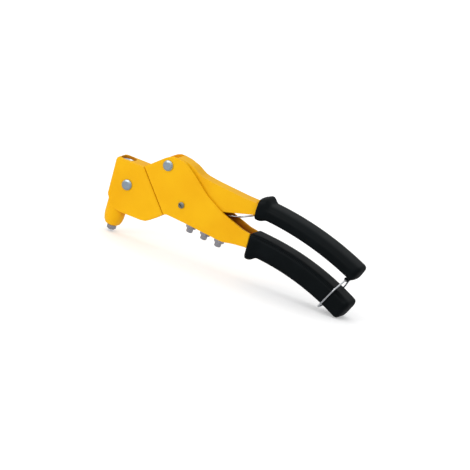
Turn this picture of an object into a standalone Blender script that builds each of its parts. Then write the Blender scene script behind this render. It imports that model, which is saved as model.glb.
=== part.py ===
"""Swivel-head hand riveter: pressed frame, cast head, lever, jaws, grips and latch."""
import math

import bmesh
import bpy
from mathutils import Matrix, Vector

MM = 0.001

# ---- overall layout, millimetres and degrees (x along the tool, z up, y across) ----
HEAD_WIDTH = 19.6
FRAME_WIDTH = 20.4
SHEET = 2.3
GAP = 0.35
SEAM_GAP = 0.8
SWIVEL_CENTRE = (37.3, 54.0)
SWIVEL_TILT = 39.3
SEAM_HALF = 25.0
LEVER_PIVOT = (45.9, 82.9)
HEAD_PIVOT = (9.0, 50.1)
SPRING_POST = (69.6, 50.3)

# ---- nose and barrel ----
BARREL_RADIUS = 10.0
BARREL_BASE_Z = 5.0
HEAD_TOP_Z = 73.6
NOSE_BORE = 7.8
NOSE_THREAD_RADIUS = 3.8
NOSE_THREAD_TOP = 13.6
NOSE_HEX_FLATS = 8.2
NOSE_HEX_HEIGHT = 4.0
NOSE_TIP_RADIUS = 3.7
NOSE_TIP_HEIGHT = 0.7

# ---- mechanism ----
LEVER_OPENING = 40.0
TOE_REACH = 17.5
TOE_RADIUS = 4.5
ROD_RADIUS = 3.3
CRANK_REACH = 15.2
CRANK_SWING = 46.4
CRANK_TIP_RADIUS = 3.6
FORK_REACH = 9.2
FORK_RADIUS = 2.6
FORK_ARM_RADIUS = 1.6
COLLAR_FLAT = 1.3
CRANK_WIDTH = 12.0
PIN_RADIUS = 3.2
PIN_HEAD_RADIUS = 5.3
PIN_HEAD_HEIGHT = 1.7
JAW_CASE_RADIUS = 6.8
JAW_NECK_RADIUS = 2.7
MANDREL_BORE = 1.9

# ---- swivel joint ----
HUB_RADIUS = 6.5
HUB_BORE = 3.9
HUB_FLANGE = 7.3
SHOULDER = 6.0
FRAME_FRONT_WALL = 4.0

# ---- lever channel ----
LEVER_WIDTH = FRAME_WIDTH - 2 * SHEET - 2 * GAP
LEVER_SHEET = 2.2

# ---- return spring, screw and post ----
POST_RADIUS = 3.3
SCREW_RADIUS = 1.9
SCREW_HEAD_RADIUS = 3.1
COIL_RADIUS = 5.6
SPRING_WIRE = 0.9
COIL_TURNS = 4

# ---- spare nosepieces ----
SPARE_START = (81.0, 33.9)
SPARE_PITCH = 16.0
SPARE_SLOPE = -6.3
SPARE_HEX_FLATS = 9.6
SPARE_HEX_HEIGHT = 4.0
SPARE_TIP_RADIUS = 3.3
SPARE_TIP_HEIGHT = 4.6
SPARE_BORES = (1.25, 1.45, 1.7)

# ---- grips: start point, start and end heading, length, half heights and width ----
UPPER_GRIP = {
    "start": (146.2, 74.6), "headings": (-3.2, -24.8), "length": 121.0, "width": 22.4,
    "top": 8.0, "bottom": 9.9, "horn_top": 4.8, "horn_bottom": 3.2, "squareness": 0.55,
}
LOWER_GRIP = {
    "start": (146.6, 37.4), "headings": (-2.5, -28.5), "length": 117.6, "width": 23.0,
    "top": 11.7, "bottom": 10.6, "horn_top": 0.0, "horn_bottom": 4.8, "squareness": 0.36,
}
TANG_HALF_HEIGHT = 5.6
TANG_WIDTH = 13.0
TANG_END_GAP = 5.0

# ---- latch bail ----
BAIL_SETBACK = 6.7
BAIL_DROP = 2.7
BAIL_FOOT_SETBACK = 22.4
BAIL_FOOT_DROP = 2.6
BAIL_SIDE_ROOM = 1.7
BAIL_SHOULDER = 0.34
BAIL_WIRE = 0.9
BAIL_LUG_RADIUS = 2.0
BAIL_LUG_WIDTH = 9.0


def clear_scene():
    for item in list(bpy.data.objects):
        bpy.data.objects.remove(item, do_unlink=True)


def material(name, colour, roughness, metallic):
    made = bpy.data.materials.get(name)
    if made:
        return made
    made = bpy.data.materials.new(name)
    made.use_nodes = True
    shader = made.node_tree.nodes["Principled BSDF"]
    shader.inputs["Base Color"].default_value = (*colour, 1.0)
    shader.inputs["Roughness"].default_value = roughness
    shader.inputs["Metallic"].default_value = metallic
    return made


FINISH = {
    "yellow": ((0.88, 0.47, 0.012), 0.38, 0.0),
    "grip": ((0.012, 0.014, 0.016), 0.55, 0.0),
    "zinc": ((0.46, 0.50, 0.53), 0.34, 1.0),
    "steel": ((0.36, 0.36, 0.38), 0.42, 1.0),
    "black_steel": ((0.07, 0.07, 0.075), 0.45, 1.0),
    "spring": ((0.55, 0.56, 0.58), 0.28, 1.0),
}


def finish(obj, kind, smooth=32.0):
    colour, roughness, metallic = FINISH[kind]
    obj.data.materials.clear()
    obj.data.materials.append(material(obj.name + "_mat", colour, roughness, metallic))
    for face in obj.data.polygons:
        face.use_smooth = True
    obj.data.set_sharp_from_angle(angle=math.radians(smooth))
    return obj


def new_object(name, mesh_builder):
    mesh = bpy.data.meshes.new(name)
    bmesh.ops.recalc_face_normals(mesh_builder, faces=mesh_builder.faces)
    mesh_builder.to_mesh(mesh)
    mesh_builder.free()
    obj = bpy.data.objects.new(name, mesh)
    bpy.context.scene.collection.objects.link(obj)
    return obj


def set_origin(obj, point):
    """Moves an object's origin to a point given as x, y, z in millimetres."""
    shift = Vector(point) * MM
    obj.data.transform(Matrix.Translation(obj.location - shift))
    obj.location = shift


def boolean(target, cutter, operation="DIFFERENCE"):
    """Applies one exact boolean and removes the cutter."""
    step = target.modifiers.new(operation.lower(), "BOOLEAN")
    step.operation = operation
    step.solver = "EXACT"
    step.object = cutter
    bpy.context.view_layer.update()
    depsgraph = bpy.context.evaluated_depsgraph_get()
    result = bpy.data.meshes.new_from_object(target.evaluated_get(depsgraph))
    target.modifiers.clear()
    target.data = result
    bpy.data.objects.remove(cutter, do_unlink=True)


def bevel(obj, width, segments=1, angle=35.0):
    """Bevels every edge sharper than the given angle."""
    builder = bmesh.new()
    builder.from_mesh(obj.data)
    limit = math.radians(angle)
    edges = [e for e in builder.edges if len(e.link_faces) == 2 and e.calc_face_angle(0.0) > limit]
    bmesh.ops.bevel(
        builder, geom=edges, offset=width * MM, segments=segments, profile=0.6, affect="EDGES", clamp_overlap=True
    )
    bmesh.ops.remove_doubles(builder, verts=builder.verts, dist=2e-6)
    builder.to_mesh(obj.data)
    builder.free()


def plate(name, outline, low_y, high_y):
    """Extrudes a closed x, z outline between two y planes."""
    builder = bmesh.new()
    loop = [builder.verts.new((x * MM, low_y * MM, z * MM)) for x, z in outline]
    face = builder.faces.new(loop)
    sweep = bmesh.ops.extrude_face_region(builder, geom=[face])
    moved = [v for v in sweep["geom"] if isinstance(v, bmesh.types.BMVert)]
    bmesh.ops.translate(builder, verts=moved, vec=(0, (high_y - low_y) * MM, 0))
    return new_object(name, builder)


def slab(name, outline, width):
    return plate(name, outline, -width / 2, width / 2)


def axis_matrix(point, direction):
    """Places local +Z along a direction at a point in millimetres."""
    turn = Vector(direction).normalized().to_track_quat("Z", "Y").to_matrix().to_4x4()
    return Matrix.Translation(Vector(point) * MM) @ turn


def lathe(name, profile, point, direction, steps=32, arc=(0.0, 360.0)):
    """Turns a closed radius, height profile about an axis, fully or over a part arc."""
    builder = bmesh.new()
    full = abs(arc[1] - arc[0]) >= 359.9
    count = steps if full else steps + 1
    rings = []
    for index in range(count):
        angle = math.radians(arc[0] + (arc[1] - arc[0]) * index / steps)
        rings.append([
            None if radius < 1e-6 else
            builder.verts.new((radius * MM * math.cos(angle), radius * MM * math.sin(angle), height * MM))
            for radius, height in profile
        ])
    centre = {
        i: builder.verts.new((0, 0, height * MM))
        for i, (radius, height) in enumerate(profile) if radius < 1e-6
    }
    for index in range(steps):
        ring = rings[index]
        following = rings[(index + 1) % count]
        for i in range(len(profile)):
            j = (i + 1) % len(profile)
            corners = [
                ring[i] or centre[i], ring[j] or centre[j], following[j] or centre[j], following[i] or centre[i]
            ]
            unique = list(dict.fromkeys(corners))
            if len(unique) > 2:
                builder.faces.new(unique)
    if not full:
        builder.faces.new(rings[0])
        builder.faces.new(rings[-1])
    builder.transform(axis_matrix(point, direction))
    return new_object(name, builder)


def rod(name, radius, point, direction, low, high, steps=32):
    """A plain cylinder along an axis."""
    return lathe(name, [(0, low), (radius, low), (radius, high), (0, high)], point, direction, steps)


def polygon_prism(name, flats, low, high, point, direction, turn=0.0):
    """A hexagonal prism measured across its flats."""
    builder = bmesh.new()
    radius = flats / 2 / math.cos(math.pi / 6)
    loops = []
    for height in (low, high):
        angles = [turn + k * math.pi / 3 for k in range(6)]
        loops.append([
            builder.verts.new((radius * MM * math.cos(a), radius * MM * math.sin(a), height * MM)) for a in angles
        ])
    builder.faces.new(loops[0][::-1])
    builder.faces.new(loops[1])
    for k in range(6):
        builder.faces.new((loops[0][k], loops[0][(k + 1) % 6], loops[1][(k + 1) % 6], loops[1][k]))
    builder.transform(axis_matrix(point, direction))
    return new_object(name, builder)


def wire(name, path, radius, sides=8):
    """A round wire along a list of points, closed at both ends."""
    builder = bmesh.new()
    points = [Vector(p) * MM for p in path]
    rings = []
    side = None
    for index, here in enumerate(points):
        before = points[max(index - 1, 0)]
        after = points[min(index + 1, len(points) - 1)]
        along = (after - before).normalized()
        if side is None:
            side = along.orthogonal().normalized()
        side = (side - along * side.dot(along)).normalized()
        other = along.cross(side)
        rings.append([
            builder.verts.new(
                here + radius * MM * (
                    math.cos(2 * math.pi * k / sides) * side + math.sin(2 * math.pi * k / sides) * other
                )
            )
            for k in range(sides)
        ])
    for first, second in zip(rings, rings[1:]):
        for k in range(sides):
            builder.faces.new((first[k], first[(k + 1) % sides], second[(k + 1) % sides], second[k]))
    builder.faces.new(rings[0][::-1])
    builder.faces.new(rings[-1])
    return new_object(name, builder)


def rounded(points, radius, steps=3):
    """Rounds the corners of a path of 3-D points with short curves."""
    path = [Vector(points[0])]
    for before, corner, after in zip(points, points[1:], points[2:]):
        corner = Vector(corner)
        back = (Vector(before) - corner)
        ahead = (Vector(after) - corner)
        reach = min(radius, back.length * 0.45, ahead.length * 0.45)
        start = corner + back.normalized() * reach
        end = corner + ahead.normalized() * reach
        for k in range(steps + 1):
            t = k / steps
            path.append((1 - t) ** 2 * start + 2 * t * (1 - t) * corner + t * t * end)
    path.append(Vector(points[-1]))
    return path


def soft(outline, radius, steps=2):
    """Rounds every corner of a closed outline in the x, z plane."""
    count = len(outline)
    result = []
    for index, (x, z) in enumerate(outline):
        reach = radius[index] if isinstance(radius, (list, tuple)) else radius
        if reach <= 0:
            result.append((x, z))
            continue
        before = Vector(outline[index - 1]) - Vector((x, z))
        after = Vector(outline[(index + 1) % count]) - Vector((x, z))
        back = min(reach, before.length * 0.45)
        ahead = min(reach, after.length * 0.45)
        start = Vector((x, z)) + before.normalized() * back
        end = Vector((x, z)) + after.normalized() * ahead
        for k in range(steps + 1):
            t = k / steps
            point = (1 - t) ** 2 * start + 2 * t * (1 - t) * Vector((x, z)) + t * t * end
            result.append((point.x, point.y))
    return result


# ---- shared positions ----
TILT = math.radians(SWIVEL_TILT)
ALONG = Vector((math.cos(TILT), math.sin(TILT)))
ACROSS = Vector((-math.sin(TILT), math.cos(TILT)))
SWIVEL_DIRECTION = (ALONG.x, 0, ALONG.y)
SWIVEL_POINT = (SWIVEL_CENTRE[0], 0, SWIVEL_CENTRE[1])
HALF_SWING = math.radians(CRANK_SWING) / 2
HALF_OPENING = math.radians(LEVER_OPENING) / 2


def seam(along, across):
    """A point given by its distance along and across the swivel axis."""
    point = Vector(SWIVEL_CENTRE) + ALONG * along + ACROSS * across
    return point.x, point.y


def swivel_station(point):
    """Distance of a point along the swivel axis from the seam."""
    return (Vector(point) - Vector(SWIVEL_CENTRE)).dot(ALONG)


def toe_centre():
    mid = Vector(LEVER_PIVOT) - ACROSS * TOE_REACH * math.cos(HALF_OPENING)
    centre = mid - ALONG * TOE_REACH * math.sin(HALF_OPENING)
    return centre.x, centre.y


def crank_tip():
    mid = Vector(HEAD_PIVOT) - ACROSS * CRANK_REACH * math.cos(HALF_SWING)
    centre = mid - ALONG * CRANK_REACH * math.sin(HALF_SWING)
    return centre.x, centre.y


def fork_centre():
    return (
        HEAD_PIVOT[0] - FORK_REACH * math.cos(HALF_SWING),
        HEAD_PIVOT[1] + FORK_REACH * math.sin(HALF_SWING),
    )


JAW_STROKE = 2 * FORK_REACH * math.sin(HALF_SWING)
ROD_STROKE = 2 * TOE_REACH * math.sin(HALF_OPENING)
JAW_CASE_BASE = NOSE_THREAD_TOP + 1.4 + JAW_STROKE + GAP
COLLAR_Z = fork_centre()[1] + FORK_RADIUS + GAP
COLLAR_HEIGHT = 3.4
PLUG_Z = 67.2
PLUG_HEIGHT = 3.6


def grip_point(grip, distance, offset=0.0):
    """A point on a grip's curved centre line, moved square to it by an offset."""
    first, last = (math.radians(h) for h in grip["headings"])
    turn = (last - first) / grip["length"]
    heading = first + turn * distance
    x = grip["start"][0] + (math.sin(heading) - math.sin(first)) / turn
    z = grip["start"][1] - (math.cos(heading) - math.cos(first)) / turn
    return x - math.sin(heading) * offset, z + math.cos(heading) * offset


# ---- head ----

def head_housing():
    half_gap = SEAM_GAP / 2
    left = -8.9
    outline = [
        (left, HEAD_TOP_Z), (left, 34.6), (left + 2.2, 32.0), (left + 2.2, 25.0), (9.2, 21.6),
        (36.6, 21.2), seam(-half_gap, -SEAM_HALF), seam(-half_gap, SEAM_HALF),
    ]
    body = slab("head_housing", soft(outline, [3.0, 1.5, 1.5, 0, 3.0, 5.0, 1.2, 1.2]), HEAD_WIDTH)
    bevel(body, 1.1, 2, 60.0)
    barrel = lathe("barrel", [
        (0, BARREL_BASE_Z), (5.4, BARREL_BASE_Z), (7.4, 6.4), (8.9, 9.4), (9.7, 13.0), (BARREL_RADIUS, 17.0),
        (BARREL_RADIUS - 0.5, 34.0), (8.4, 36.5), (0, 36.5),
    ], (0, 0, 0), (0, 0, 1), 36)
    boolean(body, barrel, "UNION")
    pin_at = (HEAD_PIVOT[0], 0, HEAD_PIVOT[1])
    boolean(body, rod("pin_hole", PIN_RADIUS + GAP, pin_at, (0, 1, 0), -HEAD_WIDTH, HEAD_WIDTH, 24))
    boolean(body, rod("bore", NOSE_BORE, (0, 0, 0), (0, 0, 1), NOSE_THREAD_TOP, HEAD_TOP_Z + 5, 32))
    thread = NOSE_THREAD_RADIUS + GAP
    boolean(body, rod("nose_hole", thread, (0, 0, 0), (0, 0, 1), 0, NOSE_THREAD_TOP + 1, 24))
    pocket = [
        (3.0, 58.5), (15.0, 58.5), seam(-SHOULDER - 0.6, 7.2), seam(-SHOULDER - 0.6, -7.2),
        (17.0, 28.6), (5.5, 28.6),
    ]
    boolean(body, slab("pocket", soft(pocket, 2.0, 1), CRANK_WIDTH + 2 * GAP + 0.2))
    boolean(body, rod("ring_room", 8.5, SWIVEL_POINT, SWIVEL_DIRECTION, -SHOULDER - 9.0, -SHOULDER, 32))
    boolean(body, rod("hub_hole", HUB_RADIUS + GAP, SWIVEL_POINT, SWIVEL_DIRECTION, -SHOULDER - 0.5, 3, 32))
    set_origin(body, SWIVEL_POINT)
    return finish(body, "yellow")


def nosepiece(name, point, direction, flats, hex_height, tip_radius, tip_height, bore, shank, shank_length):
    """Screw-in nosepiece: round tip, hexagon and threaded shank; direction points from tip to shank."""
    piece = polygon_prism(name, flats, tip_height, tip_height + hex_height, point, direction, math.pi / 6)
    bevel(piece, 0.35, 1, 50.0)
    boolean(piece, lathe("tip", [
        (0, 0), (tip_radius - 0.5, 0), (tip_radius, 0.6), (tip_radius, tip_height + 1), (0, tip_height + 1),
    ], point, direction, 24), "UNION")
    top = tip_height + hex_height + shank_length
    boolean(piece, lathe("shank", [
        (0, tip_height + 1), (shank, tip_height + 1), (shank, top - 0.8), (shank - 0.8, top), (0, top),
    ], point, direction, 24), "UNION")
    boolean(piece, rod("hole", bore, point, direction, -1, top + 1, 16))
    return finish(piece, "steel")


def head_parts():
    pin_at = (HEAD_PIVOT[0], 0, HEAD_PIVOT[1])
    hex_top = NOSE_TIP_HEIGHT + NOSE_HEX_HEIGHT
    nosepiece("nosepiece", (0, 0, 0), (0, 0, 1), NOSE_HEX_FLATS, NOSE_HEX_HEIGHT, NOSE_TIP_RADIUS,
              NOSE_TIP_HEIGHT, MANDREL_BORE, NOSE_THREAD_RADIUS, NOSE_THREAD_TOP + 1.0 - hex_top)

    base = JAW_CASE_BASE
    shelf = base + 16.5
    case = lathe("jaw_case", [
        (3.4, base), (JAW_CASE_RADIUS - 0.6, base), (JAW_CASE_RADIUS, base + 0.8), (JAW_CASE_RADIUS, shelf),
        (JAW_NECK_RADIUS, shelf + 1.6), (JAW_NECK_RADIUS, COLLAR_Z), (JAW_CASE_RADIUS - 0.4, COLLAR_Z),
        (JAW_CASE_RADIUS - 0.4, COLLAR_Z + COLLAR_HEIGHT), (JAW_NECK_RADIUS, COLLAR_Z + COLLAR_HEIGHT),
        (JAW_NECK_RADIUS, COLLAR_Z + COLLAR_HEIGHT + 2.2), (MANDREL_BORE, COLLAR_Z + COLLAR_HEIGHT + 2.2),
        (MANDREL_BORE, shelf - 1.2), (5.0, shelf - 1.2), (5.0, base + 7.4),
    ], (0, 0, 0), (0, 0, 1), 28)
    flat = [(COLLAR_FLAT, COLLAR_Z - 0.3), (12.0, COLLAR_Z - 0.3), (12.0, COLLAR_Z + COLLAR_HEIGHT + 0.3),
            (COLLAR_FLAT, COLLAR_Z + COLLAR_HEIGHT + 0.3)]
    flat_cutter = slab("flat_cutter", flat, 20.0)
    boolean(flat_cutter, rod("kept_neck", JAW_NECK_RADIUS, (0, 0, 0), (0, 0, 1), COLLAR_Z - 5, COLLAR_Z + 9, 28))
    boolean(case, flat_cutter)
    finish(case, "steel")
    for index, arc in enumerate(((96.0, 264.0), (276.0, 444.0))):
        name = ("jaw_left", "jaw_right")[index]
        jaw = lathe(name, [
            (0.9, base + 0.4), (3.0, base + 0.4), (4.6, base + 7.2), (4.6, base + 8.0), (0.9, base + 8.0),
        ], (0, 0, 0), (0, 0, 1), 10, arc)
        finish(jaw, "black_steel")
    finish(lathe("jaw_pusher", [
        (MANDREL_BORE, base + 8.4), (4.5, base + 8.4), (4.5, base + 9.8), (2.8, base + 9.8), (2.8, base + 11.4),
        (MANDREL_BORE, base + 11.4),
    ], (0, 0, 0), (0, 0, 1), 24), "zinc")
    coil_spring("pusher_spring", 3.9, 0.45, base + 10.6, shelf - 2.0, 3)
    coil_spring("jaw_spring", 5.0, 0.6, COLLAR_Z + COLLAR_HEIGHT + GAP + 0.6, PLUG_Z - GAP - 0.6, 3)
    finish(lathe("mandrel_plug", [
        (3.6, PLUG_Z), (NOSE_BORE - GAP, PLUG_Z), (NOSE_BORE - GAP, PLUG_Z + PLUG_HEIGHT),
        (6.6, PLUG_Z + PLUG_HEIGHT), (5.6, PLUG_Z + 1.6), (3.6, PLUG_Z + 1.6),
    ], (0, 0, 0), (0, 0, 1), 28), "zinc")

    tip = crank_tip()
    fork = fork_centre()
    crank = lathe("head_crank", [(0, -CRANK_WIDTH / 2), (5.2, -CRANK_WIDTH / 2), (5.2, CRANK_WIDTH / 2),
                                 (0, CRANK_WIDTH / 2)], pin_at, (0, 1, 0), 24)
    arm = capsule(HEAD_PIVOT, tip, CRANK_TIP_RADIUS, CRANK_TIP_RADIUS)
    boolean(crank, slab("arm", arm, CRANK_WIDTH - 2.0), "UNION")
    arm = capsule(HEAD_PIVOT, fork, FORK_ARM_RADIUS, FORK_RADIUS)
    boolean(crank, slab("fork", arm, CRANK_WIDTH - 1.0), "UNION")
    neck_gap = 2 * (JAW_NECK_RADIUS + 0.5)
    toward = (Vector(fork) - Vector(HEAD_PIVOT)).normalized()
    side = Vector((-toward.y, toward.x))
    slot = [
        tuple(Vector(HEAD_PIVOT) + toward * reach + side * lift)
        for reach, lift in ((4.8, -9.0), (4.8, 9.0), (20.0, 9.0), (20.0, -9.0))
    ]
    boolean(crank, slab("slot", slot, neck_gap))
    boolean(crank, rod("hole", PIN_RADIUS + GAP, pin_at, (0, 1, 0), -20, 20, 24))
    set_origin(crank, pin_at)
    finish(crank, "steel")
    pivot_pin("head_pin", HEAD_PIVOT, HEAD_WIDTH)


def capsule(first, second, first_radius, second_radius, steps=5):
    """Outline of two circles joined by straight flanks."""
    start = Vector(first)
    end = Vector(second)
    heading = math.atan2(end.y - start.y, end.x - start.x)
    outline = []
    for centre, radius, low in ((start, first_radius, math.pi / 2), (end, second_radius, -math.pi / 2)):
        for k in range(steps * 2 + 1):
            angle = heading + low + math.pi * k / (steps * 2)
            outline.append((centre.x + radius * math.cos(angle), centre.y + radius * math.sin(angle)))
    return outline


def pivot_pin(name, centre, width):
    """Headed pin through both walls with a clip in a groove at its far end."""
    half = width / 2
    low = -half - GAP
    clip = half + GAP
    lathe_profile = [
        (0, low - PIN_HEAD_HEIGHT), (PIN_HEAD_RADIUS - 1.6, low - PIN_HEAD_HEIGHT),
        (PIN_HEAD_RADIUS - 0.3, low - PIN_HEAD_HEIGHT * 0.6), (PIN_HEAD_RADIUS, low - 0.5),
        (PIN_HEAD_RADIUS, low), (PIN_RADIUS, low), (PIN_RADIUS, clip - 0.1),
        (PIN_RADIUS - 0.9, clip - 0.1), (PIN_RADIUS - 0.9, clip + 1.5), (PIN_RADIUS, clip + 1.5),
        (PIN_RADIUS - 0.4, clip + 2.3), (0, clip + 2.3),
    ]
    at = (centre[0], 0, centre[1])
    pin = finish(lathe(name, lathe_profile, at, (0, 1, 0), 28), "zinc")
    inner = PIN_RADIUS - 0.6
    outer = PIN_HEAD_RADIUS - 0.6
    ring = lathe(name + "_clip", [
        (inner, clip + 0.2), (outer, clip + 0.2), (outer, clip + 1.2), (inner, clip + 1.2),
    ], at, (0, 1, 0), 20, (25.0, 335.0))
    finish(ring, "black_steel")
    return pin


def coil_path(radius, start, end, turns, steps=14):
    count = turns * steps
    return [
        (radius * math.cos(2 * math.pi * k / steps), radius * math.sin(2 * math.pi * k / steps),
         start + (end - start) * k / count)
        for k in range(count + 1)
    ]


def coil_spring(name, radius, wire_radius, low, high, turns):
    """Compression spring standing on the nose axis."""
    return finish(wire(name, coil_path(radius, low, high, turns), wire_radius, 6), "spring")


# ---- swivel ----

def swivel_parts():
    finish(lathe("swivel_hub", [
        (HUB_BORE, -10.2), (HUB_RADIUS - 0.4, -10.2), (HUB_RADIUS, -9.8), (HUB_RADIUS, -9.3),
        (5.7, -9.3), (5.7, -7.1),
        (HUB_RADIUS, -7.1), (HUB_RADIUS, FRAME_FRONT_WALL + GAP + 0.4),
        (HUB_FLANGE, FRAME_FRONT_WALL + GAP + 0.4),
        (HUB_FLANGE, FRAME_FRONT_WALL + GAP + 3.0), (HUB_BORE, FRAME_FRONT_WALL + GAP + 3.0),
    ], SWIVEL_POINT, SWIVEL_DIRECTION, 32), "steel")
    finish(lathe("swivel_washer", [
        (HUB_RADIUS + GAP, -7.0), (8.1, -7.0), (8.1, -6.35), (HUB_RADIUS + GAP, -6.35),
    ], SWIVEL_POINT, SWIVEL_DIRECTION, 28), "spring")
    finish(lathe("swivel_ring", [
        (6.05, -9.0), (8.1, -9.0), (8.1, -7.4), (6.05, -7.4),
    ], SWIVEL_POINT, SWIVEL_DIRECTION, 28, (10.0, 350.0)), "black_steel")
    low = swivel_station(crank_tip()) + CRANK_TIP_RADIUS + 0.9
    high = swivel_station(toe_centre()) - TOE_RADIUS - GAP
    finish(lathe("push_rod", [
        (0, low), (1.6, low + 0.4), (2.7, low + 1.3), (ROD_RADIUS, low + 2.6), (ROD_RADIUS, high - 2.6),
        (2.7, high - 1.3), (1.6, high - 0.4), (0, high),
    ], SWIVEL_POINT, SWIVEL_DIRECTION, 24), "zinc")


# ---- frame and lower handle ----

def tang_outline(grip, start_distance, half_height):
    """Tapered bar that follows a grip's centre line."""
    end = grip["length"] - TANG_END_GAP
    stations = [start_distance + (end - start_distance) * k / 6 for k in range(7)]
    upper = [grip_point(grip, s, half_height) for s in stations]
    lower = [grip_point(grip, s, -half_height) for s in reversed(stations)]
    return upper + lower


FRAME_BOTTOM = [(56.6, 36.0), (78.0, 34.2), (100.0, 31.8), (119.5, 29.6), (128.5, 31.6), (145.9, 33.1)]
FRAME_TOP = [
    (145.9, 47.4), (137.0, 49.0), (113.0, 57.2), (93.0, 68.4), (75.0, 83.4), (63.5, 91.4),
    (48.0, 93.6), (40.5, 88.8),
]


def frame():
    half_gap = SEAM_GAP / 2
    outline = [
        seam(half_gap, -SEAM_HALF), *FRAME_BOTTOM, *FRAME_TOP, seam(half_gap + 1.0, SEAM_HALF),
        seam(half_gap, SEAM_HALF - 0.6),
    ]
    corner = [0.8, 2, 0, 0, 5, 5, 0, 0, 0, 4, 0, 4, 4, 5, 2, 0.6, 0]
    body = slab("frame", soft(outline, corner), FRAME_WIDTH)
    bevel(body, 0.5, 1, 60.0)
    wall = FRAME_FRONT_WALL
    room = [
        seam(wall, -SEAM_HALF + SHEET + 1.0), (59.5, 36.0 + SHEET + 0.9), (78.0, 34.2 + SHEET),
        (100.0, 31.8 + SHEET), (119.0, 29.6 + SHEET), (128.0, 31.6 + SHEET), (143.0, 33.0 + SHEET),
        (143.0, 41.5), (150.0, 41.5), (150.0, 60.0), (120.0, 70.0), (90.0, 100.0), (50.0, 104.0), (38.0, 96.0),
        seam(wall, SEAM_HALF - 3.0),
    ]
    boolean(body, slab("room", room, FRAME_WIDTH - 2 * SHEET))
    boolean(body, slab("tang", tang_outline(LOWER_GRIP, -3.5, TANG_HALF_HEIGHT), TANG_WIDTH), "UNION")
    boolean(body, rod("hub_hole", HUB_RADIUS + GAP, SWIVEL_POINT, SWIVEL_DIRECTION, -2, wall + 1, 32))
    pivot = (LEVER_PIVOT[0], 0, LEVER_PIVOT[1])
    boolean(body, rod("pin_hole", PIN_RADIUS + GAP, pivot, (0, 1, 0), -30, 30, 24))
    post = (SPRING_POST[0], 0, SPRING_POST[1])
    boolean(body, rod("screw_hole", SCREW_RADIUS + GAP, post, (0, 1, 0), -30, 30, 20))
    for index in range(3):
        x, z = spare_place(index)
        boolean(body, rod("spare_hole", 2.2 + GAP, (x, 0, z), spare_direction(), -6, 6, 20))
    return finish(body, "yellow")


def spare_place(index):
    slope = math.radians(SPARE_SLOPE)
    return SPARE_START[0] + SPARE_PITCH * index, SPARE_START[1] + SPARE_PITCH * index * math.tan(slope)


def spare_direction():
    slope = math.radians(SPARE_SLOPE)
    return -math.sin(slope), 0, math.cos(slope)


def spare_nosepieces():
    up = Vector(spare_direction())
    for index, bore in enumerate(SPARE_BORES):
        x, z = spare_place(index)
        drop = SPARE_HEX_HEIGHT + SPARE_TIP_HEIGHT + GAP + 0.15
        base = Vector((x, 0, z)) - up * drop
        nosepiece("spare_nosepiece_%d" % (index + 1), tuple(base), tuple(up), SPARE_HEX_FLATS, SPARE_HEX_HEIGHT,
                  SPARE_TIP_RADIUS, SPARE_TIP_HEIGHT, bore, 2.2, 5.0)


# ---- lever and upper handle ----

def lever():
    toe = toe_centre()
    px, pz = LEVER_PIVOT
    outline = [
        (px - 8.8, pz + 1.0), (px - 6.5, pz - 7.0), (toe[0] - 4.0, toe[1] + 1.5), (toe[0] - 2.6, toe[1] - 3.6),
        (toe[0] + 3.6, toe[1] - 3.0), (66.0, 66.0), (86.0, 61.5), (108.5, 56.8), (145.3, 66.3),
        (145.6, 77.8), (130.0, 78.3), (95.0, 81.6), (80.0, 83.8), (70.5, 90.2), (57.0, 92.9),
        (px + 6.4, pz + 10.0), (px + 5.8, pz + 5.2), (px - 5.5, pz + 5.2),
    ]
    radius = [4, 3, 0, 2.5, 2.5, 3, 0, 3, 0, 0, 4, 6, 5, 5, 3, 0.6, 1.5, 4]
    body = slab("lever", soft(outline, radius), LEVER_WIDTH)
    bevel(body, 0.5, 1, 60.0)
    web = LEVER_SHEET
    room = [
        (60.0, 40.0), (137.0, 40.0), (137.0, 78.0 - web), (95.0, 81.6 - web), (78.6, 83.8 - web),
        (69.4, 90.2 - web),
        (58.0, 92.4 - web), (55.5, 90.0 - web), (60.0, 76.0),
    ]
    boolean(body, slab("room", room, LEVER_WIDTH - 2 * web))
    boolean(body, slab("tang", tang_outline(UPPER_GRIP, -3.5, TANG_HALF_HEIGHT - 0.8), TANG_WIDTH), "UNION")
    toe_half = LEVER_WIDTH / 2 - 1.0
    boolean(body, rod("toe", TOE_RADIUS, (toe[0], 0, toe[1]), (0, 1, 0), -toe_half, toe_half, 24), "UNION")
    pivot = (px, 0, pz)
    boolean(body, rod("pin_hole", PIN_RADIUS + GAP, pivot, (0, 1, 0), -30, 30, 24))
    set_origin(body, pivot)
    return finish(body, "yellow")


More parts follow.
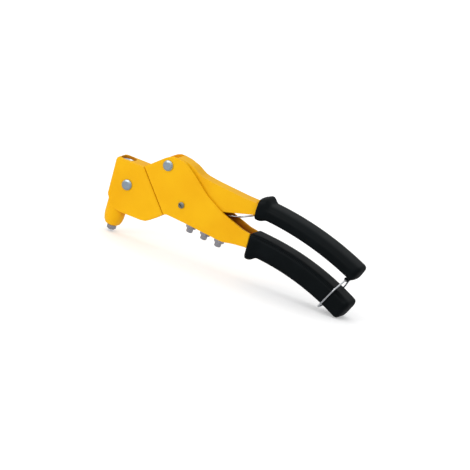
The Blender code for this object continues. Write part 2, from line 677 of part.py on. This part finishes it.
def grip_sleeve(name, grip, core_half, core_width, kind="grip"):
    """Moulded sleeve with a flared mouth, a rounded closed end and a pocket for the handle's tang."""
    length = grip["length"]
    builder = bmesh.new()
    count = 20
    stations = [0, 1.2, 3.5, 6.5, 9.5, 13, 18] + [18 + (length - 24) * k / 6 for k in range(1, 7)]
    stations += [length - 3.0, length - 1.2, length - 0.3]

    def flare(s, full, gone):
        share = min(1.0, max(0.0, (gone - s) / (gone - full)))
        return share * share * (3 - 2 * share)

    def closing(s):
        if s < 1.2:
            return 0.93 + 0.07 * s / 1.2
        left = length - s
        near_end = max(0.0, 6.0 - left) / 6.0
        return 0.38 + 0.62 * math.sqrt(max(0.0, 1 - near_end ** 3.2))

    def ring(s, top, bottom, half_width, power):
        loop = []
        for k in range(count):
            angle = 2 * math.pi * (k + 0.5) / count
            c, d = math.cos(angle), math.sin(angle)
            side = math.copysign(abs(c) ** power, c) * half_width
            lift = math.copysign(abs(d) ** power, d) * (top if d > 0 else bottom)
            x, z = grip_point(grip, s, lift)
            loop.append(builder.verts.new((x * MM, side * MM, z * MM)))
        return loop

    outer = []
    for s in stations:
        k = closing(s)
        top = grip["top"] + grip["horn_top"] * flare(s, 6.5, 13.0) * (1 - 0.6 * flare(s, 0.0, 6.5))
        bottom = grip["bottom"] + grip["horn_bottom"] * flare(s, 4.0, 13.0)
        half_width = grip["width"] / 2 + 1.2 * flare(s, 0.0, 15.0)
        outer.append(ring(s, top * k, bottom * k, half_width * k, grip["squareness"]))
    inner = [
        ring(s, core_half + GAP, core_half + GAP, core_width / 2 + GAP, 0.12)
        for s in [0] + [8 + (length - TANG_END_GAP + 0.6 - 8) * k / 6 for k in range(7)]
    ]
    for rings in (outer, inner):
        for first, second in zip(rings, rings[1:]):
            for k in range(count):
                builder.faces.new((first[k], first[(k + 1) % count], second[(k + 1) % count], second[k]))
    builder.faces.new(outer[-1])
    builder.faces.new(inner[-1])
    for k in range(count):
        builder.faces.new((outer[0][k], outer[0][(k + 1) % count], inner[0][(k + 1) % count], inner[0][k]))
    return finish(new_object(name, builder), kind)


# ---- fasteners, return spring and latch ----

def spring_and_screw():
    half = FRAME_WIDTH / 2
    post = (SPRING_POST[0], 0, SPRING_POST[1])
    inner_half = half - SHEET - GAP
    finish(lathe("spring_post", [
        (SCREW_RADIUS + GAP, -inner_half), (POST_RADIUS, -inner_half), (POST_RADIUS, inner_half),
        (SCREW_RADIUS + GAP, inner_half),
    ], post, (0, 1, 0), 24), "zinc")
    low = -half - GAP
    screw = lathe("post_screw", [
        (0, low - 1.6), (SCREW_HEAD_RADIUS - 0.7, low - 1.6), (SCREW_HEAD_RADIUS, low - 1.0),
        (SCREW_HEAD_RADIUS, low), (SCREW_RADIUS, low), (SCREW_RADIUS, half + 3.4), (0, half + 3.4),
    ], post, (0, 1, 0), 24)
    slot = lathe("slot", [(0, -0.7), (5, -0.7), (5, 0.7), (0, 0.7)], (post[0], low - 1.6 - 4.0, post[2]),
                 (math.sin(math.radians(35)), 0, math.cos(math.radians(35))), 24)
    boolean(screw, slot)
    finish(screw, "zinc")
    nut = polygon_prism("post_nut", 5.5 + 1.5, half + GAP, half + GAP + 2.6, post, (0, 1, 0))
    bevel(nut, 0.3, 1, 50.0)
    boolean(nut, rod("hole", SCREW_RADIUS + GAP - 0.05, post, (0, 1, 0), 0, 30, 20))
    finish(nut, "zinc")


def return_spring():
    """Torsion spring: a leg down to the frame's floor, the coil on its post, a leg up to the lever."""
    half_width = COIL_TURNS * (SPRING_WIRE + 0.2)
    cx, cz = SPRING_POST
    path = [Vector((cx - COIL_RADIUS, -half_width, cz - 9.9)), Vector((cx - COIL_RADIUS, -half_width, cz - 4.3))]
    steps = 14
    total = int((COIL_TURNS - 0.25) * steps)
    for k in range(total + 1):
        angle = math.pi - 2 * math.pi * k / steps
        side = half_width * (2 * k / total - 1)
        path.append(Vector((cx + COIL_RADIUS * math.cos(angle), side, cz + COIL_RADIUS * math.sin(angle))))
    last = path[-1]
    leg = [last, Vector((92.0, last.y * 0.6, 49.2)), Vector((127.0, 0, 56.6)), Vector((142.4, 0, 63.7))]
    path += rounded(leg, 5.0)[1:]
    spring = wire("return_spring", path, SPRING_WIRE, 8)
    set_origin(spring, (cx, 0, cz))
    return finish(spring, "spring")


def latch():
    """Wire bail that hangs from a lug under the upper grip and hooks round the lower one."""
    station = UPPER_GRIP["length"] - BAIL_SETBACK
    hinge = grip_point(UPPER_GRIP, station, -UPPER_GRIP["bottom"] - BAIL_DROP)
    station = LOWER_GRIP["length"] - BAIL_FOOT_SETBACK
    foot = grip_point(LOWER_GRIP, station, -LOWER_GRIP["bottom"] - BAIL_FOOT_DROP)
    upper = (hinge[0] - 0.2, hinge[1] + 0.4)
    lug = slab("bail_lug", capsule(hinge, upper, BAIL_LUG_RADIUS, BAIL_LUG_RADIUS), BAIL_LUG_WIDTH)
    pivot = Vector((hinge[0], 0, hinge[1]))
    boolean(lug, rod("hole", BAIL_WIRE + GAP, pivot, (0, 1, 0), -20, 20, 20))
    finish(lug, "grip")
    reach = Vector((foot[0], 0, foot[1])) - pivot
    outward = Vector((0, LOWER_GRIP["width"] / 2 + BAIL_SIDE_ROOM, 0))
    neck = BAIL_LUG_WIDTH / 2 + 1.4
    half = [
        pivot + Vector((0, 1.0, 0)), pivot + Vector((0, neck, 0)),
        pivot + reach * BAIL_SHOULDER + outward, pivot + reach + outward,
    ]
    corners = half + [Vector((p.x, -p.y, p.z)) for p in reversed(half)]
    bail = wire("wire_bail", rounded(corners, 3.0, 3), BAIL_WIRE, 8)
    set_origin(bail, pivot)
    finish(bail, "spring")


def centre_on_floor():
    """Moves every piece by one shift, so the whole is centred on the origin with its lowest point at zero."""
    corners = [obj.matrix_world @ v.co for obj in bpy.data.objects for v in obj.data.vertices]
    low = Vector([min(c[i] for c in corners) for i in range(3)])
    high = Vector([max(c[i] for c in corners) for i in range(3)])
    shift = Vector((-(low.x + high.x) / 2, -(low.y + high.y) / 2, -low.z))
    for obj in bpy.data.objects:
        obj.location += shift


def build():
    clear_scene()
    head_housing()
    head_parts()
    swivel_parts()
    frame()
    spare_nosepieces()
    lever()
    pivot_pin("lever_pin", LEVER_PIVOT, FRAME_WIDTH)
    grip_sleeve("upper_grip", UPPER_GRIP, TANG_HALF_HEIGHT - 0.8, TANG_WIDTH)
    grip_sleeve("lower_grip", LOWER_GRIP, TANG_HALF_HEIGHT, TANG_WIDTH)
    spring_and_screw()
    return_spring()
    latch()
    bpy.context.view_layer.update()
    centre_on_floor()


build()
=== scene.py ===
# looks for a swivel-head hand riveter: enamelled pressings, moulded grips, plated pins and a wire latch
import math

import bmesh
import bpy
from mathutils import Matrix, Vector


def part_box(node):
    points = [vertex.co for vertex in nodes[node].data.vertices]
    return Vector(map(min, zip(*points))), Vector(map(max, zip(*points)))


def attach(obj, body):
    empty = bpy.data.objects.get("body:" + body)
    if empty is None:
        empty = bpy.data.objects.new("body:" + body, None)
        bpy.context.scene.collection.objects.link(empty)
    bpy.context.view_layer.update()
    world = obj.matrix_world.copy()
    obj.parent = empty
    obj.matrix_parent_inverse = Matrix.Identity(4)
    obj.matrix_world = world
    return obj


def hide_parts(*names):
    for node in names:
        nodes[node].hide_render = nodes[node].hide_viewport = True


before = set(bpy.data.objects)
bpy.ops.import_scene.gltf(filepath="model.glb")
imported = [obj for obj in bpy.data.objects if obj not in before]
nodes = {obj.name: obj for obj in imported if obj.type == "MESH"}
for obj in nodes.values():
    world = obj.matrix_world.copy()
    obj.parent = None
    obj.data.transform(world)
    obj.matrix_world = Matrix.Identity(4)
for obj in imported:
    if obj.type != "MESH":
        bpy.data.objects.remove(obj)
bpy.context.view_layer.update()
mm = 0.001

noseLow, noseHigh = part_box("nosepiece")
noseX = (noseLow[0] + noseHigh[0]) / 2    # nose axis and tip: the grips and the camera are set out from them
noseZ = noseLow[2]
print("stage: frame loaded,", len(nodes), "pieces")


def linear(hexText):
    values = [int(hexText[i:i + 2], 16) / 255 for i in (1, 3, 5)]
    turned = [v / 12.92 if v <= 0.04045 else ((v + 0.055) / 1.055) ** 2.4 for v in values]
    return (*turned, 1.0)


def addNode(tree, kind, inputs=None, **settings):
    made = tree.nodes.new(kind)
    for name, value in settings.items():
        setattr(made, name, value)
    for name, value in (inputs or {}).items():
        if isinstance(value, bpy.types.NodeSocket):
            tree.links.new(value, made.inputs[name])
        else:
            made.inputs[name].default_value = value
    return made


def startMaterial(name):
    made = bpy.data.materials.new(name)
    made.use_nodes = True
    made.node_tree.nodes.clear()
    tree = made.node_tree
    shader = addNode(tree, "ShaderNodeBsdfPrincipled")
    output = addNode(tree, "ShaderNodeOutputMaterial")
    tree.links.new(shader.outputs["BSDF"], output.inputs["Surface"])
    place = addNode(tree, "ShaderNodeTexCoord").outputs["Object"]
    return made, tree, shader, place


def perMetre(sizeMm):
    return 1000.0 / sizeMm    # texture scale for a pattern that repeats every sizeMm


def mixColours(tree, share, first, second):
    made = addNode(tree, "ShaderNodeMix", {0: share, 6: first, 7: second}, data_type="RGBA")
    return made.outputs[2]


def remap(tree, value, low, high, newLow, newHigh):
    inputs = {"Value": value, "From Min": low, "From Max": high, "To Min": newLow, "To Max": newHigh}
    return addNode(tree, "ShaderNodeMapRange", inputs).outputs["Result"]


# the recess brown is painted shade, laid into the occluded insides of the pressings
enamelLook = {
    "colour": "#ECAF08", "deep": "#E5A302", "light": "#EFB70C", "paintedShade": "#B4531C",
    "edge": "#FFCE48", "edgeMm": 0.45, "peelMm": 1.6, "peelHeightMm": 0.006,
    "cloudMm": 38.0, "paintedShadeMm": 30.0, "roughness": 0.4, "specular": 0.1,
}


def stovedEnamel(name, look=enamelLook):
    # stoved enamel on steel: even and satin, with faint orange peel and a paler line where it thins on edges
    made, tree, shader, place = startMaterial(name)
    cloud = addNode(tree, "ShaderNodeTexNoise", {
        "Vector": place, "Scale": perMetre(look["cloudMm"]), "Detail": 3.0, "Roughness": 0.5,
    })
    body = mixColours(tree, remap(tree, cloud.outputs["Fac"], 0.35, 0.65, 0.0, 1.0),
                      linear(look["deep"]), linear(look["light"]))
    body = mixColours(tree, 0.5, body, linear(look["colour"]))
    rounded = addNode(tree, "ShaderNodeBevel", {"Radius": look["edgeMm"] * mm}, samples=4)
    plain = addNode(tree, "ShaderNodeNewGeometry")
    facing = addNode(tree, "ShaderNodeVectorMath", {0: rounded.outputs["Normal"], 1: plain.outputs["Normal"]},
                     operation="DOT_PRODUCT")
    thin = remap(tree, facing.outputs["Value"], 0.97, 0.78, 0.0, 0.55)
    scuff = addNode(tree, "ShaderNodeTexNoise", {"Vector": place, "Scale": perMetre(5.0), "Detail": 4.0})
    broken = addNode(tree, "ShaderNodeMath", {
        0: thin, 1: remap(tree, scuff.outputs["Fac"], 0.35, 0.6, 0.35, 1.0),
    }, operation="MULTIPLY")
    body = mixColours(tree, broken.outputs[0], body, linear(look["edge"]))
    # painted shade: ambient occlusion mixes the enamel towards warm brown in hollows and gaps
    around = addNode(tree, "ShaderNodeAmbientOcclusion", {"Distance": look["paintedShadeMm"] * mm},
                     samples=8, only_local=True)
    paintedShadeShare = remap(tree, around.outputs["AO"], 0.74, 0.28, 0.0, 1.0)    # painted shade: warm brown darkening deep inside the pressings, where they are occluded
    tree.links.new(mixColours(tree, paintedShadeShare, body, linear(look["paintedShade"])), shader.inputs["Base Color"])
    peel = addNode(tree, "ShaderNodeTexNoise", {
        "Vector": place, "Scale": perMetre(look["peelMm"]), "Detail": 2.0, "Roughness": 0.45,
    })
    bump = addNode(tree, "ShaderNodeBump", {
        "Height": peel.outputs["Fac"], "Distance": look["peelHeightMm"] * mm, "Strength": 0.6,
    })
    tree.links.new(bump.outputs["Normal"], shader.inputs["Normal"])
    gloss = remap(tree, cloud.outputs["Fac"], 0.3, 0.7, look["roughness"] - 0.04, look["roughness"] + 0.06)
    tree.links.new(gloss, shader.inputs["Roughness"])
    shader.inputs["IOR"].default_value = 1.5
    shader.inputs["Specular IOR Level"].default_value = look["specular"]
    return made


gripLook = {
    "colour": "#04090B", "worn": "#0B1215", "grainMm": 0.9, "grainHeightMm": 0.05,
    "smearMm": 22.0, "roughness": 0.5, "specular": 0.1,
}


def mouldedRubber(name, look=gripLook):
    # moulded vinyl rubber: near black and satin, with a fine grain drawn coarser than the real 0.4 mm
    made, tree, shader, place = startMaterial(name)
    smear = addNode(tree, "ShaderNodeTexNoise", {
        "Vector": place, "Scale": perMetre(look["smearMm"]), "Detail": 4.0, "Roughness": 0.55,
    })
    body = mixColours(tree, remap(tree, smear.outputs["Fac"], 0.4, 0.75, 0.0, 0.6),
                      linear(look["colour"]), linear(look["worn"]))
    grain = addNode(tree, "ShaderNodeTexVoronoi", {
        "Vector": place, "Scale": perMetre(look["grainMm"]), "Randomness": 1.0,
    }, feature="F1")
    pit = remap(tree, grain.outputs["Distance"], 0.0, 0.6, 0.0, 1.0)
    tree.links.new(mixColours(tree, remap(tree, pit, 0.0, 1.0, 0.0, 0.12), body, linear(look["worn"])),
                   shader.inputs["Base Color"])
    bump = addNode(tree, "ShaderNodeBump", {
        "Height": pit, "Distance": look["grainHeightMm"] * mm, "Strength": 0.35,
    })
    tree.links.new(bump.outputs["Normal"], shader.inputs["Normal"])
    satin = remap(tree, smear.outputs["Fac"], 0.3, 0.7, look["roughness"] - 0.06, look["roughness"] + 0.08)
    tree.links.new(satin, shader.inputs["Roughness"])
    shader.inputs["IOR"].default_value = 1.5
    shader.inputs["Specular IOR Level"].default_value = look["specular"]
    return made


metalLooks = {
    # zinc plate is a cool pale grey, dulled on the screw; turned steel is brighter and tighter;
    # black oxide is near black; spring wire is drawn bright. Sizes are of the mottling and the tool marks.
    "zinc": {"colour": "#D2E2EC", "deep": "#AFBFCA", "roughness": 0.34, "mottleMm": 1.8, "markMm": 0.5},
    "dulled": {"colour": "#B9BDB6", "deep": "#5E625C", "roughness": 0.3, "mottleMm": 1.2, "markMm": 0.5},
    "turned": {"colour": "#E2DFE3", "deep": "#8A878C", "roughness": 0.27, "mottleMm": 3.0, "markMm": 0.45},
    "oxide": {"colour": "#3A3B3D", "deep": "#1F2022", "roughness": 0.42, "mottleMm": 2.5, "markMm": 0.6},
    "wire": {"colour": "#EEF0F2", "deep": "#CDD0D3", "roughness": 0.32, "mottleMm": 6.0, "markMm": 0.8},
}
paintedSlotShade = {"colour": "#1B1A18", "reachMm": 2.0}    # painted shade: darkening in slots and corners


def bareMetal(name, look, along=(0, 0, 1)):
    # plated, turned, oxidised or drawn steel: mottled reflections, fine marks square to the turning axis
    made, tree, shader, place = startMaterial(name)
    mottle = addNode(tree, "ShaderNodeTexNoise", {
        "Vector": place, "Scale": perMetre(look["mottleMm"]), "Detail": 4.0, "Roughness": 0.6,
    })
    stretch = [perMetre(9.0) + (perMetre(look["markMm"]) - perMetre(9.0)) * abs(a) for a in along]
    spread = addNode(tree, "ShaderNodeVectorMath", {0: place, 1: stretch}, operation="MULTIPLY")
    marks = addNode(tree, "ShaderNodeTexNoise", {
        "Vector": spread.outputs["Vector"], "Scale": 1.0, "Detail": 3.0, "Roughness": 0.6,
    })
    share = addNode(tree, "ShaderNodeMath", {
        0: remap(tree, mottle.outputs["Fac"], 0.3, 0.7, 0.0, 0.7),
        1: remap(tree, marks.outputs["Fac"], 0.35, 0.65, 0.2, 1.0),
    }, operation="MULTIPLY")
    body = mixColours(tree, share.outputs[0], linear(look["colour"]), linear(look["deep"]))
    # painted shade: ambient occlusion darkens the metal towards near black in slots and corners
    shelter = addNode(tree, "ShaderNodeAmbientOcclusion", {"Distance": paintedSlotShade["reachMm"] * mm}, samples=8)
    slotShadeShare = remap(tree, shelter.outputs["AO"], 0.75, 0.35, 0.0, 0.85)
    tree.links.new(mixColours(tree, slotShadeShare, body, linear(paintedSlotShade["colour"])), shader.inputs["Base Color"])
    polish = remap(tree, marks.outputs["Fac"], 0.3, 0.7, look["roughness"] - 0.07, look["roughness"] + 0.1)
    tree.links.new(polish, shader.inputs["Roughness"])
    bump = addNode(tree, "ShaderNodeBump", {
        "Height": marks.outputs["Fac"], "Distance": 0.01 * mm, "Strength": 0.5,
    })
    tree.links.new(bump.outputs["Normal"], shader.inputs["Normal"])
    shader.inputs["Metallic"].default_value = 1.0
    return made


enamel = stovedEnamel("stovedYellowEnamel")
rubber = mouldedRubber("mouldedBlackRubber")
zincAcross = bareMetal("zincPlateAcross", metalLooks["zinc"], (0, 1, 0))
zincUpright = bareMetal("zincPlateUpright", metalLooks["zinc"], (0, 0, 1))
dulledZinc = bareMetal("dulledZincPlate", metalLooks["dulled"], (0, 1, 0))
turned = bareMetal("turnedSteel", metalLooks["turned"], (0, 0, 1))
oxide = bareMetal("blackOxideSteel", metalLooks["oxide"], (0, 1, 0))
drawnWire = bareMetal("drawnSpringWire", metalLooks["wire"], (0, 1, 0))
print("stage: materials made")


finishOf = {
    "head_housing": enamel, "frame": enamel, "lever": enamel,
    "head_pin": zincAcross, "lever_pin": zincAcross, "spring_post": zincAcross,
    "post_nut": zincAcross, "post_screw": dulledZinc,
    "mandrel_plug": zincUpright, "jaw_pusher": zincUpright, "push_rod": zincUpright,
    "jaw_case": turned, "head_crank": turned, "swivel_hub": turned, "nosepiece": turned,
    "spare_nosepiece_1": turned, "spare_nosepiece_2": turned, "spare_nosepiece_3": turned,
    "jaw_left": oxide, "jaw_right": oxide, "swivel_ring": oxide,
    "head_pin_clip": oxide, "lever_pin_clip": oxide,
    "pusher_spring": drawnWire, "jaw_spring": drawnWire, "return_spring": drawnWire,
    "swivel_washer": drawnWire, "wire_bail": drawnWire,
    "upper_grip": rubber, "lower_grip": rubber, "bail_lug": rubber,
}
edgeMm = {
    "head_housing": 0.55, "frame": 0.4, "lever": 0.4, "head_crank": 0.3, "bail_lug": 0.35, "post_nut": 0.2,
    "nosepiece": 0.2, "spare_nosepiece_1": 0.2, "spare_nosepiece_2": 0.2, "spare_nosepiece_3": 0.2,
}
wireNodes = ("return_spring", "wire_bail", "jaw_spring", "pusher_spring")


def softenEdges(piece, widthMm):
    weld = piece.modifiers.new("weld", "WELD")
    weld.merge_threshold = 0.01 * mm
    edge = piece.modifiers.new("edge", "BEVEL")
    edge.width = widthMm * mm
    edge.segments = 3
    edge.limit_method = "ANGLE"
    edge.angle_limit = math.radians(38)
    edge.harden_normals = True
    edge.use_clamp_overlap = True


for name, piece in nodes.items():
    piece.data.materials.clear()
    piece.data.materials.append(finishOf[name])
    if name in edgeMm:
        softenEdges(piece, edgeMm[name])
    if name in wireNodes:
        joined = piece.modifiers.new("weld", "WELD")
        joined.merge_threshold = 0.01 * mm
        smoother = piece.modifiers.new("round", "SUBSURF")
        smoother.levels = smoother.render_levels = 1
print("stage: CAD pieces finished")


# the arcs of the two grips: starts and sizes in mm from the nose tip, headings in degrees
upperGrip = {
    "start": (146.2, 74.6), "headings": (-3.2, -24.8), "length": 121.0, "width": 22.3,
    "top": 7.9, "bottom": 9.8, "hornTop": 4.8, "hornBottom": 3.2, "squareness": 0.57,
    "ridge": 0.7, "groove": 0.0,
}
lowerGrip = {
    "start": (146.6, 37.4), "headings": (-2.5, -28.5), "length": 117.6, "width": 22.9,
    "top": 11.6, "bottom": 10.5, "hornTop": 0.0, "hornBottom": 4.8, "squareness": 0.34,
    "ridge": 0.0, "groove": 1.2,
}
gripMesh = {"around": 120, "along": 110, "mouthDepthMm": 9.0, "mouthInsetMm": 3.2}
gripShape = {
    "lipMm": 1.5, "lipShare": 0.93, "endRoundMm": 6.0, "endShare": 0.38, "endPower": 3.2,
    "hornFullMm": 6.5, "hornGoneMm": 13.0, "hornDip": 0.6, "heelFullMm": 4.0,
    "spreadMm": 1.1, "spreadGoneMm": 15.0, "ridgeMm": 1.7, "grooveDownMm": 2.6, "grooveMm": 0.8,
}


def alongGrip(grip, distance, lift):
    first, last = (math.radians(h) for h in grip["headings"])
    turn = (last - first) / grip["length"]
    heading = first + turn * distance
    x = grip["start"][0] + (math.sin(heading) - math.sin(first)) / turn - math.sin(heading) * lift
    z = grip["start"][1] - (math.cos(heading) - math.cos(first)) / turn + math.cos(heading) * lift
    return x, z


def gripSkin(name, grip, body):
    shape = gripShape
    around = gripMesh["around"]
    length = grip["length"]
    builder = bmesh.new()

    def flare(s, full, gone):
        share = min(1.0, max(0.0, (gone - s) / (gone - full)))
        return share * share * (3 - 2 * share)

    def ends(s):
        lip = 1.0
        if s <= shape["lipMm"]:
            rise = math.sqrt(max(0.0, 1 - (1 - s / shape["lipMm"]) ** 2))
            lip = shape["lipShare"] + (1 - shape["lipShare"]) * rise
        left = length - s
        tail = shape["endRoundMm"]
        if left >= tail:
            return lip
        fall = math.sqrt(max(0.0, 1 - ((tail - left) / tail) ** shape["endPower"]))
        return lip * (shape["endShare"] + (1 - shape["endShare"]) * fall)

    def ring(s, inset=0.0):
        size = ends(s)
        full, gone = shape["hornFullMm"], shape["hornGoneMm"]
        horn = grip["hornTop"] * flare(s, full, gone) * (1 - shape["hornDip"] * flare(s, 0.0, full))
        top = grip["top"] + horn
        bottom = grip["bottom"] + grip["hornBottom"] * flare(s, shape["heelFullMm"], gone)
        spread = shape["spreadMm"] * flare(s, 0.0, shape["spreadGoneMm"])
        halfWidth = (grip["width"] / 2 + spread) * size - inset
        top = top * size - inset
        bottom = bottom * size - inset
        fade = min(1.0, max(0.0, (s - 3) / 8)) * min(1.0, max(0.0, (length - s - 3) / 8))
        loop = []
        for k in range(around):
            angle = 2 * math.pi * (k + 0.5) / around
            c, d = math.cos(angle), math.sin(angle)
            side = math.copysign(abs(c) ** grip["squareness"], c) * halfWidth
            lift = math.copysign(abs(d) ** grip["squareness"], d) * (top if d > 0 else bottom)
            if inset == 0:
                fromRidge = lift / shape["ridgeMm"]    # ridge along the middle of each side
                side += math.copysign(grip["ridge"] * math.exp(-fromRidge ** 2) * fade, side)
                fromGroove = (lift - top + shape["grooveDownMm"]) / shape["grooveMm"]    # under each corner
                cut = grip["groove"] * math.exp(-fromGroove ** 2) * fade * (abs(side) > 0.6 * halfWidth)
                side -= math.copysign(cut, side)
            x, z = alongGrip(grip, s, lift)
            loop.append(builder.verts.new((x * mm + noseX, side * mm, z * mm + noseZ)))
        return loop

    steps = gripMesh["along"]
    eased = [0.5 - 0.5 * math.cos(math.pi * k / steps) for k in range(steps + 1)]
    stations = [length * (0.35 * e + 0.65 * k / steps) for k, e in enumerate(eased)]
    stations[-1] = length - 0.02
    outer = [ring(s) for s in stations]
    inner = [ring(s, gripMesh["mouthInsetMm"]) for s in (0.0, gripMesh["mouthDepthMm"])]
    for rings in (outer, inner):
        for first, second in zip(rings, rings[1:]):
            for k in range(around):
                builder.faces.new((first[k], first[(k + 1) % around], second[(k + 1) % around], second[k]))
    for k in range(around):
        builder.faces.new((outer[0][k], outer[0][(k + 1) % around], inner[0][(k + 1) % around], inner[0][k]))
    builder.faces.new(outer[-1])
    builder.faces.new(inner[-1])
    bmesh.ops.recalc_face_normals(builder, faces=builder.faces)
    mesh = bpy.data.meshes.new(name)
    builder.to_mesh(mesh)
    builder.free()
    for face in mesh.polygons:
        face.use_smooth = True
    mesh.set_sharp_from_angle(angle=math.radians(50))
    made = bpy.data.objects.new(name, mesh)
    bpy.context.scene.collection.objects.link(made)
    made.data.materials.append(rubber)
    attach(made, body)
    return made


upperSkin = gripSkin("upper_grip_moulding", upperGrip, "lever")
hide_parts("upper_grip")
lowerSkin = gripSkin("lower_grip_moulding", lowerGrip, "frame")
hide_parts("lower_grip")
print("stage: grips moulded")


floorLook = {"colour": "#E9E9E9", "cloud": "#E4E4E4", "glow": 0.3, "sizeM": 40.0, "mottleMm": 400.0}
cameraSet = {"azimuth": 21.8, "elevation": 15.4, "roll": -14.6, "lens": 700.0,
             "widthMm": 456.3, "noseAt": (-0.26383, 0.01362)}    # nose tip, in view widths from the middle
lights = {
    # name: direction in the view's own right, up and towards-camera axes, distance in m, size in m, watts
    "key": ((-0.75, 0.42, 0.85), 2.2, 0.8, 13.5),
    "top": ((0.1, 1.0, -0.1), 2.4, 3.6, 18.0),
}
sky = {"high": "#FFFFFF", "low": "#A2A3A6", "strength": 1.0}


def paleFloor():
    made, tree, shader, place = startMaterial("paintedFloor")
    # matt white paint: almost no variation
    mottle = addNode(tree, "ShaderNodeTexNoise", {"Vector": place, "Scale": perMetre(floorLook["mottleMm"])})
    paint = mixColours(tree, remap(tree, mottle.outputs["Fac"], 0.3, 0.7, 0.0, 0.25),
                       linear(floorLook["colour"]), linear(floorLook["cloud"]))
    tree.links.new(paint, shader.inputs["Base Color"])
    shader.inputs["Roughness"].default_value = 0.9
    shader.inputs["Specular IOR Level"].default_value = 0.1
    shader.inputs["Emission Color"].default_value = linear("#FFFFFF")
    shader.inputs["Emission Strength"].default_value = floorLook["glow"]    # thins the shadow out
    half = floorLook["sizeM"] / 2
    mesh = bpy.data.meshes.new("floor")
    corners = [(-half, -half, 0), (half, -half, 0), (half, half, 0), (-half, half, 0)]
    mesh.from_pydata(corners, [], [(0, 1, 2, 3)])
    floor = bpy.data.objects.new("floor", mesh)
    floor.location.z = -0.0005
    floor.data.materials.append(made)
    bpy.context.scene.collection.objects.link(floor)
    floor.visible_glossy = False    # keeps the floor's white out of the glossy near faces


def viewAxes():
    az, el, roll = (math.radians(cameraSet[k]) for k in ("azimuth", "elevation", "roll"))
    right = Vector((math.cos(az), math.sin(az), 0))
    up = Vector((-math.sin(az) * math.sin(el), math.cos(az) * math.sin(el), math.cos(el)))
    back = right.cross(up)
    return (right * math.cos(roll) - up * math.sin(roll), right * math.sin(roll) + up * math.cos(roll), back)


def placeCamera():
    right, up, back = viewAxes()
    data = bpy.data.cameras.new("camera")
    camera = bpy.data.objects.new("camera", data)
    bpy.context.scene.collection.objects.link(camera)
    bpy.context.scene.camera = camera
    data.sensor_width = 36.0
    data.lens = cameraSet["lens"]
    width = cameraSet["widthMm"] * mm
    distance = width * data.lens / data.sensor_width
    atX, atY = cameraSet["noseAt"]
    # from the nose tip to the middle of the view, in the tool's middle plane
    middle = Vector((noseX, 0, noseZ)) - right * atX * width - up * atY * width
    data.clip_end = 50.0
    turn = Matrix((right, up, back)).transposed().to_4x4()
    camera.matrix_world = Matrix.Translation(middle + back * distance) @ turn
    return middle


def placeLights(middle):
    right, up, back = viewAxes()
    for name, (direction, distance, size, watts) in lights.items():
        data = bpy.data.lights.new(name, "AREA")
        data.shape = "DISK"
        data.size = size
        data.energy = watts
        lamp = bpy.data.objects.new(name, data)
        bpy.context.scene.collection.objects.link(lamp)
        away = (right * direction[0] + up * direction[1] + back * direction[2]).normalized()
        lamp.location = middle + away * distance
        lamp.rotation_euler = away.to_track_quat("Z", "Y").to_euler()


def surroundWithSky():
    # a tent that is white overhead and grey at eye level and below
    world = bpy.data.worlds.new("studio")
    world.use_nodes = True
    tree = world.node_tree
    tree.nodes.clear()
    aim = addNode(tree, "ShaderNodeTexCoord").outputs["Generated"]
    height = addNode(tree, "ShaderNodeSeparateXYZ", {"Vector": aim}).outputs["Z"]
    share = remap(tree, height, 0.2, 0.85, 0.0, 1.0)
    colour = mixColours(tree, share, linear(sky["low"]), linear(sky["high"]))
    glow = addNode(tree, "ShaderNodeBackground", {"Color": colour, "Strength": sky["strength"]})
    output = addNode(tree, "ShaderNodeOutputWorld")
    tree.links.new(glow.outputs["Background"], output.inputs["Surface"])
    bpy.context.scene.world = world


paleFloor()
placeLights(placeCamera())
surroundWithSky()
bpy.context.scene.view_settings.view_transform = "Standard"
bpy.context.scene.view_settings.look = "None"
print("stage: studio ready")
